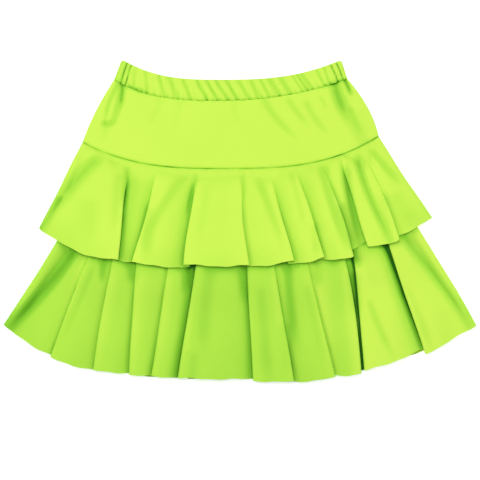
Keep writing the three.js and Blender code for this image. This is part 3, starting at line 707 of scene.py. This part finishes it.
# %% Gathers
Gather = namedtuple("Gather", "inset lean width depth")
LEFT_GATHERS = [
    Gather(6.5, 0.5, 1.2, 2.2), Gather(11.5, 1, 1.0, 1.4), Gather(18, 4, 2.6, 0.5),
    Gather(30, 8, 3.2, 0.6), Gather(46, 14, 2.8, 0.9), Gather(58.5, 16.5, 4.2, 1.0),
    Gather(76, 14.5, 2.4, 1.1), Gather(93.5, 16.5, 2.4, 1.5), Gather(105, 18, 2.2, 1.5),
    Gather(117, 18, 2.2, 1.5), Gather(130, 16, 2.4, 1.5), Gather(145, 15, 3.0, 1.1),
]
RIGHT_GATHERS = [
    Gather(6.0, -2.5, 1.2, 2.0), Gather(13, -3.5, 1.3, 1.7), Gather(22, -3, 1.4, 1.0),
    Gather(31, -6, 1.8, 0.9), Gather(50, -10, 2.2, 1.4), Gather(55.5, -10, 1.8, 1.6),
    Gather(61, -10, 1.6, 0.8), Gather(75.5, -10, 3.2, 1.3), Gather(90, -11, 3.4, 1.3),
    Gather(101, -11, 2.6, 1.0), Gather(113.5, -11, 3.4, 1.1),
]


def gathered(gathers, inset, v):
    """How deep the gathers are at an inset from their side seam and a share v down the band."""
    return sum(g.depth * np.exp(-(((inset - g.inset - g.lean * v) / g.width) ** 2)) for g in gathers)


print(len(LEFT_GATHERS) + len(RIGHT_GATHERS), "gathers")

# %% [markdown]
# The middle of the folded band lies between its two layers. The gathers and small puckers along the
# casing seam go into it, and the band sinks into the seam.

# %% The middle of the band
BAND_HEIGHT = 27
BAND_HALF = 1.3  # half the thickness of the folded band, so its middle stays this far from its ends
CORNER = (1.8, 5.0)  # how far the top edge drops at its rounded ends, and over what width
SCALLOP = 6.2  # between the small puckers along the casing seam
BAND_LEVEL = 1.9
BAND_PUFF = 0.8


def band_shade(x, inset, from_seam, grooves, fine):
    """Painted shade in the gathers, along the crinkled casing seam, and towards the left end."""
    crinkled = 0.65 + 0.35 * np.sin(inset / 1.2 + 2 * np.sin(inset / 5))
    near_seam = np.exp(-((from_seam / (1.8 + 1.6 * pulled(x))) ** 2))
    shaded = grooves * (1 + 1.3 * near_seam) + fine + 0.25
    shaded = shaded + (0.6 + 4.0 * pulled(x)) * crinkled * near_seam
    return CREASE_SHADE * (shaded + 0.7 * np.exp(-((inset / 14) ** 2)))


def band_middle(share, v, front):
    """The points of the middle of the band, and their painted shade."""
    left, right = WAIST_LINE.left[0] + BAND_HALF, WAIST_LINE.right[0] - BAND_HALF
    top_x = lerp(left, right, share)
    low_x = lerp(CASING_SEAM.left[0] + BAND_HALF, CASING_SEAM.right[0] - BAND_HALF, share)
    inset, from_right = share * (right - left), (1 - share) * (right - left)
    from_end, from_seam = np.minimum(inset, from_right), (1 - v) * BAND_HEIGHT
    x = lerp(top_x, low_x, v)
    y = lerp(line_at(WAIST_LINE, top_x), line_at(CASING_SEAM, low_x) + SEAM_GAP, v)
    y = y - CORNER[0] * np.clip(1 - from_end / CORNER[1], 0, 1) ** 2 * (1 - v)
    fine = 0.16 * np.sin((inset - 9 * v) / 1.15 + 2 * np.sin(inset / 13)) * (0.5 + 0.5 * v)
    beat = inset / SCALLOP + 0.35 * np.sin(inset / 11) + 0.2 * np.sin(inset / 4.7)
    puckers = (1 - np.abs(np.sin(math.pi * beat))) * np.exp(-from_seam / 3.2)
    grooves = gathered(LEFT_GATHERS, inset, v) + gathered(RIGHT_GATHERS, from_right, v) + 0.8 * puckers
    full = BAND_LEVEL + 0 * x * v
    if front:
        full = BAND_LEVEL + BAND_PUFF * (1 + np.sin(np.pi * v) ** 2) - grooves - fine
        full = full - 1.5 * np.exp(-((from_seam / 1.6) ** 2))
        y = y + 0.35 * np.sin(2 * math.pi * beat) * np.exp(-from_seam / 2.5)
    level = lerp(SIDE, full, turned(from_end))
    z = middle(x, y) + level if front else np.maximum(BAND_HALF, middle(x, y) - level)
    return np.stack([x, y, z], axis=-1), band_shade(x, inset, from_seam, grooves, fine) * front


band_points = band_middle(np.linspace(0, 1, 5)[None, :], np.array([[0.5]]), True)[0]
print("half way down, the band's middle is", np.round(band_points[0, :, 2], 1), "mm high")

# %% [markdown]
# The sheet goes up the outside of the band, round its top edge and down its inside, always at the same
# distance from its middle.

# %% Build the waistband
FOLD_RADIUS = 0.95  # of the turn over the top edge


def waistband(name, front, step):
    width = WAIST_LINE.right[0] - WAIST_LINE.left[0]
    share = spaced(width, step, SIDE_STEPS)[None, :]
    near_top = FOLD_RADIUS / BAND_HEIGHT
    outer = np.linspace(1, near_top, 25)
    turn = np.linspace(0, math.pi, 9)[1:-1]
    inner = np.linspace(near_top, 1, 7)
    v = np.concatenate([outer, np.full(len(turn), near_top), inner])[:, None]
    out = np.concatenate([np.ones(len(outer)), np.cos(turn), -np.ones(len(inner))])[:, None, None]
    up = np.concatenate([np.zeros(len(outer)), np.sin(turn), np.zeros(len(inner))])[:, None, None]
    here, painted_light = band_middle(share, v, front)
    to_left, to_right = (band_middle(np.clip(share + d, 0, 1), v, front)[0] for d in (-1e-4, 1e-4))
    across = to_right - to_left
    across[:, 0] = across[:, -1] = (0, 0, 1)
    across[:, -1 if front else 0] *= -1
    down = band_middle(share, v + 1e-3, front)[0] - band_middle(share, v - 1e-3, front)[0]
    normal = np.cross(down, across)
    normal /= np.linalg.norm(normal, axis=-1, keepdims=True)
    down /= np.linalg.norm(down, axis=-1, keepdims=True)
    side = 1 if front else -1
    return sheet_object(name, here + FOLD_RADIUS * (normal * out * side - down * up), painted_light)


waist_front = waistband("waistband-front", True, 1.0)
waist_back = waistband("waistband-back", False, 2.5)
for piece in (waist_front, waist_back):
    print(piece.name, len(piece.data.polygons), "faces")

# %% [markdown]
# ## Shade in the folds
#
# Light that reaches the bottom of a fold has bounced between walls of dyed knit, so the cloth there looks
# deeper and greener than open cloth. That shade is painted into the colour of the cloth. Each vertex
# keeps how much of the sky its neighbours hide, as a number called shade. It is read from a height map of
# the whole skirt, so the painted shade takes in the shadow of a hem on the cloth below it too. The back is
# measured the same way from below.

# %% The height map
MAP_STEP = 1.0
MAP_LOW = (-310, -215)
MAP_SIZE = (620, 430)
NO_CLOTH = -20.0  # height of the map seen from below, where no cloth lies


def fine_points(grid, times=4):
    """The points of a grid with more between them."""
    rows, columns = grid.shape[:2]
    down, across = (np.linspace(0, count - 1, (count - 1) * times + 1) for count in (rows, columns))
    i, j = np.minimum(down.astype(int), rows - 2), np.minimum(across.astype(int), columns - 2)
    a, b = (down - i)[:, None, None], (across - j)[None, :, None]
    above = lerp(grid[i][:, j], grid[i][:, j + 1], b)
    below = lerp(grid[i + 1][:, j], grid[i + 1][:, j + 1], b)
    return lerp(above, below, a).reshape(-1, 3)


def cell_of(x, y):
    column = np.clip(((x - MAP_LOW[0]) / MAP_STEP).astype(int), 0, MAP_SIZE[0] - 1)
    row = np.clip(((y - MAP_LOW[1]) / MAP_STEP).astype(int), 0, MAP_SIZE[1] - 1)
    return row, column


def height_map(names, side):
    """The outermost cloth seen from above, side 1, or from below, side -1."""
    heights = np.full(MAP_SIZE[::-1], NO_CLOTH if side < 0 else 0.0)
    for name in names:
        points = fine_points(GRIDS[name])
        np.maximum.at(heights, cell_of(points[:, 0], points[:, 1]), side * points[:, 2])
    return heights


front_names = [name for name in GRIDS if name.endswith("front")]
back_names = [name for name in GRIDS if name.endswith("back")]
front_heights = height_map(front_names, 1)
back_heights = height_map(back_names, -1)
print("highest cloth", round(float(front_heights.max()), 1), "mm above the surface")

# %% [markdown]
# From a point, the horizon is looked for in sixteen directions. The steeper the neighbouring cloth rises,
# the more of the sky it hides. The painted shade of seams, creases, recesses and tiers, and the painted
# highlights of lips and rims, are added to that.

# %% Measure the shade
REACHES = (1.2, 2.4, 4, 6, 9, 13, 18, 24)  # how far from a point its horizon is looked for
FULL_REACH = 36  # cloth as far away as this hides nothing
DIRECTIONS = 16
SKY_SHARE = 0.7  # how strongly hidden sky shades a point
COVER = 1.2  # cloth this much higher at the same place covers the point
COVERED_SHADE = 0.62  # the shade of a covered point


def shade_at(points, heights, side):
    """0 on open cloth, 1 where the neighbouring cloth hides all of the sky."""
    x, y, z = points[:, 0], points[:, 1], side * points[:, 2]
    covered = heights[cell_of(x, y)] - z
    hidden = np.zeros(len(points))
    for turn in np.arange(DIRECTIONS) * 2 * math.pi / DIRECTIONS:
        slope = np.zeros(len(points))
        for reach in REACHES:
            there = heights[cell_of(x + reach * math.cos(turn), y + reach * math.sin(turn))]
            slope = np.maximum(slope, (there - z) / reach * (1 - reach / FULL_REACH))
        sideways = 0.4 + 1.2 * math.cos(turn) ** 2  # folds run down the skirt, so they shade to their sides
        hidden += SKY_SHARE * sideways * slope / (1 + slope) / DIRECTIONS
    return np.where(covered > COVER, COVERED_SHADE, hidden)


def softened(field, passes, axis):
    """Each value averaged with its neighbours along one axis."""
    for _ in range(passes):
        first, last = np.take(field, [0], axis), np.take(field, [-1], axis)
        padded = np.concatenate([first, field, last], axis)
        count = field.shape[axis]
        before, after = (np.take(padded, range(start, start + count), axis) for start in (0, 2))
        field = (before + 2 * field + after) / 4
    return field


def keep_shade(names, heights, side):
    for name in names:
        mesh = bpy.data.objects[name].data
        shade = shade_at(GRIDS[name].reshape(-1, 3), heights, side).reshape(GRIDS[name].shape[:2])
        shade = softened(softened(shade, 4, 0), 1, 1)
        shade = np.clip(shade + PAINTED_LIGHT_BY_SHEET[name], 0, 1).reshape(-1)
        # the shade is kept on the mesh, and the material paints it into the colour
        mesh.attributes.new("shade", "FLOAT", "POINT").data.foreach_set("value", shade.astype(np.float32))
        print(name, "shade", round(float(shade.mean()), 3))


keep_shade(front_names, front_heights, 1)
keep_shade(back_names, back_heights, -1)

# %% [markdown]
# ## The knit
#
# A bright yellow-green stretch knit with a dull, soft face. Its colour comes from a node group that paints
# the shade of each vertex into the colour, darker and greener from open cloth to the bottom of a fold, and
# varies the dye slightly at random.

# %% The dye and the painted shade
SHADE_RAMP = [  # painted shade: the colour of the cloth by its shade
    (0.03, (0.645, 0.95, 0.095)),
    (0.3, (0.47, 0.85, 0.065)),
    (0.62, (0.25, 0.64, 0.03)),
    (0.85, (0.13, 0.43, 0.01)),
    (1.0, (0.02, 0.15, 0.003)),
]
DYE_UNEVENNESS = 0.05
DYE_PATCHES = 18  # noise scale of its slow variation


def group_of(name, output, kind):
    tree = bpy.data.node_groups.new(name, "ShaderNodeTree")
    tree.interface.new_socket(output, in_out="OUTPUT", socket_type=kind)
    return tree, tree.nodes.new("NodeGroupOutput")


dye_and_painted_shade, dye_and_painted_shade_out = group_of("dye_and_painted_shade", "Color", "NodeSocketColor")
depth = dye_and_painted_shade.nodes.new("ShaderNodeAttribute")
depth.attribute_name = "shade"
# the ramp paints the shade into the colour, darker and greener deeper in a fold
ramp = dye_and_painted_shade.nodes.new("ShaderNodeValToRGB")
ramp.color_ramp.interpolation = "EASE"
for spot, colour in zip(ramp.color_ramp.elements, (SHADE_RAMP[0], SHADE_RAMP[-1])):
    spot.position, spot.color = colour[0], (*colour[1], 1)
for at, colour in SHADE_RAMP[1:-1]:
    ramp.color_ramp.elements.new(at).color = (*colour, 1)
cloth_place = dye_and_painted_shade.nodes.new("ShaderNodeTexCoord")
cloud = dye_and_painted_shade.nodes.new("ShaderNodeTexNoise")
cloud.inputs["Scale"].default_value = DYE_PATCHES
cloud.inputs["Detail"].default_value = 3
vary = dye_and_painted_shade.nodes.new("ShaderNodeMapRange")
vary.inputs["To Min"].default_value = 1.0 - DYE_UNEVENNESS
vary.inputs["To Max"].default_value = 1.0
mix = dye_and_painted_shade.nodes.new("ShaderNodeMix")
mix.data_type = "RGBA"
mix.blend_type = "MULTIPLY"
mix.inputs["Factor"].default_value = 1
dye_and_painted_shade.links.new(depth.outputs["Fac"], ramp.inputs["Fac"])
dye_and_painted_shade.links.new(cloth_place.outputs["Object"], cloud.inputs["Vector"])
dye_and_painted_shade.links.new(cloud.outputs["Fac"], vary.inputs["Value"])
dye_and_painted_shade.links.new(ramp.outputs["Color"], mix.inputs["A"])
dye_and_painted_shade.links.new(vary.outputs["Result"], mix.inputs["B"])
dye_and_painted_shade.links.new(mix.outputs["Result"], dye_and_painted_shade_out.inputs["Color"])
print("dye:", len(SHADE_RAMP), "colours")

# %% [markdown]
# The face of the knit is fine ribs of stitches that run down the cloth, broken up by a grain. A second node
# group draws them along the cloth's own UV map, which is in metres, as a height.

# %% The stitches
RIBS = 320  # wave scale of the ribs along the UV map
GRAIN = 1400  # noise scale of the grain

stitches, stitches_out = group_of("stitches", "Height", "NodeSocketFloat")
cloth_uv = stitches.nodes.new("ShaderNodeUVMap")
cloth_uv.uv_map = "cloth"
ribs = stitches.nodes.new("ShaderNodeTexWave")
ribs.inputs["Scale"].default_value = RIBS
ribs.inputs["Distortion"].default_value = 1.2
ribs.inputs["Detail"].default_value = 1
grain = stitches.nodes.new("ShaderNodeTexNoise")
grain.inputs["Scale"].default_value = GRAIN
grain.inputs["Detail"].default_value = 2
both = stitches.nodes.new("ShaderNodeMix")
both.inputs["Factor"].default_value = 0.6
for node in (ribs, grain):
    stitches.links.new(cloth_uv.outputs["UV"], node.inputs["Vector"])
stitches.links.new(ribs.outputs["Fac"], both.inputs["A"])
stitches.links.new(grain.outputs["Fac"], both.inputs["B"])
stitches.links.new(both.outputs["Result"], stitches_out.inputs["Height"])
print("stitches:", len(stitches.nodes), "nodes")

# %% [markdown]
# The material puts the two together. It is rough and hardly shines, with a trace of sheen from the soft
# fibres.

# %% The knit material
STITCH_HEIGHT = 0.00006  # in metres


def knit_material(name):
    material = bpy.data.materials.new(name)
    material.use_nodes = True
    nodes, links = material.node_tree.nodes, material.node_tree.links
    shader = nodes["Principled BSDF"]
    colour = nodes.new("ShaderNodeGroup")
    colour.node_tree = dye_and_painted_shade
    relief = nodes.new("ShaderNodeGroup")
    relief.node_tree = stitches
    bump = nodes.new("ShaderNodeBump")
    bump.inputs["Strength"].default_value = 0.5
    bump.inputs["Distance"].default_value = STITCH_HEIGHT
    links.new(colour.outputs["Color"], shader.inputs["Base Color"])
    links.new(relief.outputs["Height"], bump.inputs["Height"])
    links.new(bump.outputs["Normal"], shader.inputs["Normal"])
    shader.inputs["Roughness"].default_value = 0.75
    shader.inputs["Specular IOR Level"].default_value = 0.15
    shader.inputs["Sheen Weight"].default_value = 0.05
    shader.inputs["Sheen Roughness"].default_value = 0.5
    return material


knit = knit_material("knit")
print("material:", knit.name)

# %% [markdown]
# ## Which piece is what
#
# Each sheet rides with the one body of the skirt, stands for its solid in the frame, and states the
# size that it was cut to.

# %% Join the sheets to the frame
Cut = namedtuple("Cut", "node width length area held")
CUTS = {
    waist_front: Cut("waistband_front", 0.31, 0.057, 0.0165, "gathered"),
    waist_back: Cut("waistband_back", 0.31, 0.057, 0.0165, "gathered"),
    yoke_front: Cut("yoke_front", 0.385, 0.125, 0.031, "laid"),
    yoke_back: Cut("yoke_back", 0.385, 0.125, 0.031, "laid"),
    underskirt_front: Cut("underskirt_front", 0.385, 0.09, 0.0175, "laid"),
    underskirt_back: Cut("underskirt_back", 0.385, 0.09, 0.0175, "laid"),
    upper_front: Cut("upper_ruffle_front", 0.53, 0.23, 0.066, "gathered"),
    upper_back: Cut("upper_ruffle_back", 0.54, 0.21, 0.064, "gathered"),
    lower_front: Cut("lower_ruffle_front", 0.69, 0.31, 0.130, "gathered"),
    lower_back: Cut("lower_ruffle_back", 0.66, 0.29, 0.122, "gathered"),
}
for piece, cut in CUTS.items():
    piece.data.materials.append(knit)
    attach(piece, "root")
    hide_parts(cut.node)
print(len(CUTS), "sheets joined to the frame")

# %% [markdown]
# ## Surface, light and camera
#
# The surface is plain and white, and just below the skirt. It gives off a little light of its own, so
# that it stays white around the cloth.

# %% The surface
SURFACE_SIZE = 6
bpy.ops.mesh.primitive_plane_add(size=SURFACE_SIZE, location=(0, 0, -0.0006))
floor = bpy.context.object
floor.name = "floor"
white = bpy.data.materials.new("white surface")
white.use_nodes = True
surface = white.node_tree.nodes["Principled BSDF"]
surface.inputs["Base Color"].default_value = (0.9, 0.9, 0.9, 1)
surface.inputs["Roughness"].default_value = 0.9
surface.inputs["Emission Color"].default_value = (1, 1, 1, 1)
surface.inputs["Emission Strength"].default_value = 0.5
floor.data.materials.append(white)
print("surface", SURFACE_SIZE, "m wide")

# %% [markdown]
# Three soft lights: one high up on the waist side, and one from each side to shade the folds. The world
# around fills the shadows.

# %% The lights
WORLD_STRENGTH = 0.32


def soft_light(name, location, size, power):
    data = bpy.data.lights.new(name, "AREA")
    data.shape = "RECTANGLE"
    data.size, data.size_y = size
    data.energy = power
    light = bpy.data.objects.new(name, data)
    light.location = location
    light.rotation_euler = (-light.location).to_track_quat("-Z", "Y").to_euler()
    bpy.context.scene.collection.objects.link(light)


soft_light("overhead", (-0.12, 0.3, 1.75), (0.5, 0.5), 15)
soft_light("left side", (-1.3, 0.15, 0.75), (0.4, 0.8), 5.5)
soft_light("right side", (1.3, 0.05, 0.75), (0.4, 0.8), 5)
world = bpy.data.worlds.new("studio")
world.use_nodes = True
background = world.node_tree.nodes["Background"]
background.inputs["Color"].default_value = (1, 1, 1, 1)
background.inputs["Strength"].default_value = WORLD_STRENGTH
bpy.context.scene.world = world
bpy.context.scene.view_settings.view_transform = "Standard"

# %% [markdown]
# The camera looks straight down with a long lens. At the height of the cloth it sees 0.6 m.

# %% The camera
LENS = 110  # mm
SENSOR = 36  # mm, its width
SEEN = 0.6  # m, the width that it sees
CLOTH_HEIGHT = 0.01  # m
VIEW_CENTRE_Y = -0.0234

camera_data = bpy.data.cameras.new("camera")
camera_data.lens = LENS
camera = bpy.data.objects.new("camera", camera_data)
camera.location = (0, VIEW_CENTRE_Y, SEEN * LENS / SENSOR + CLOTH_HEIGHT)
bpy.context.scene.collection.objects.link(camera)
bpy.context.scene.camera = camera
print("camera", round(camera.location.z, 2), "m above the surface")
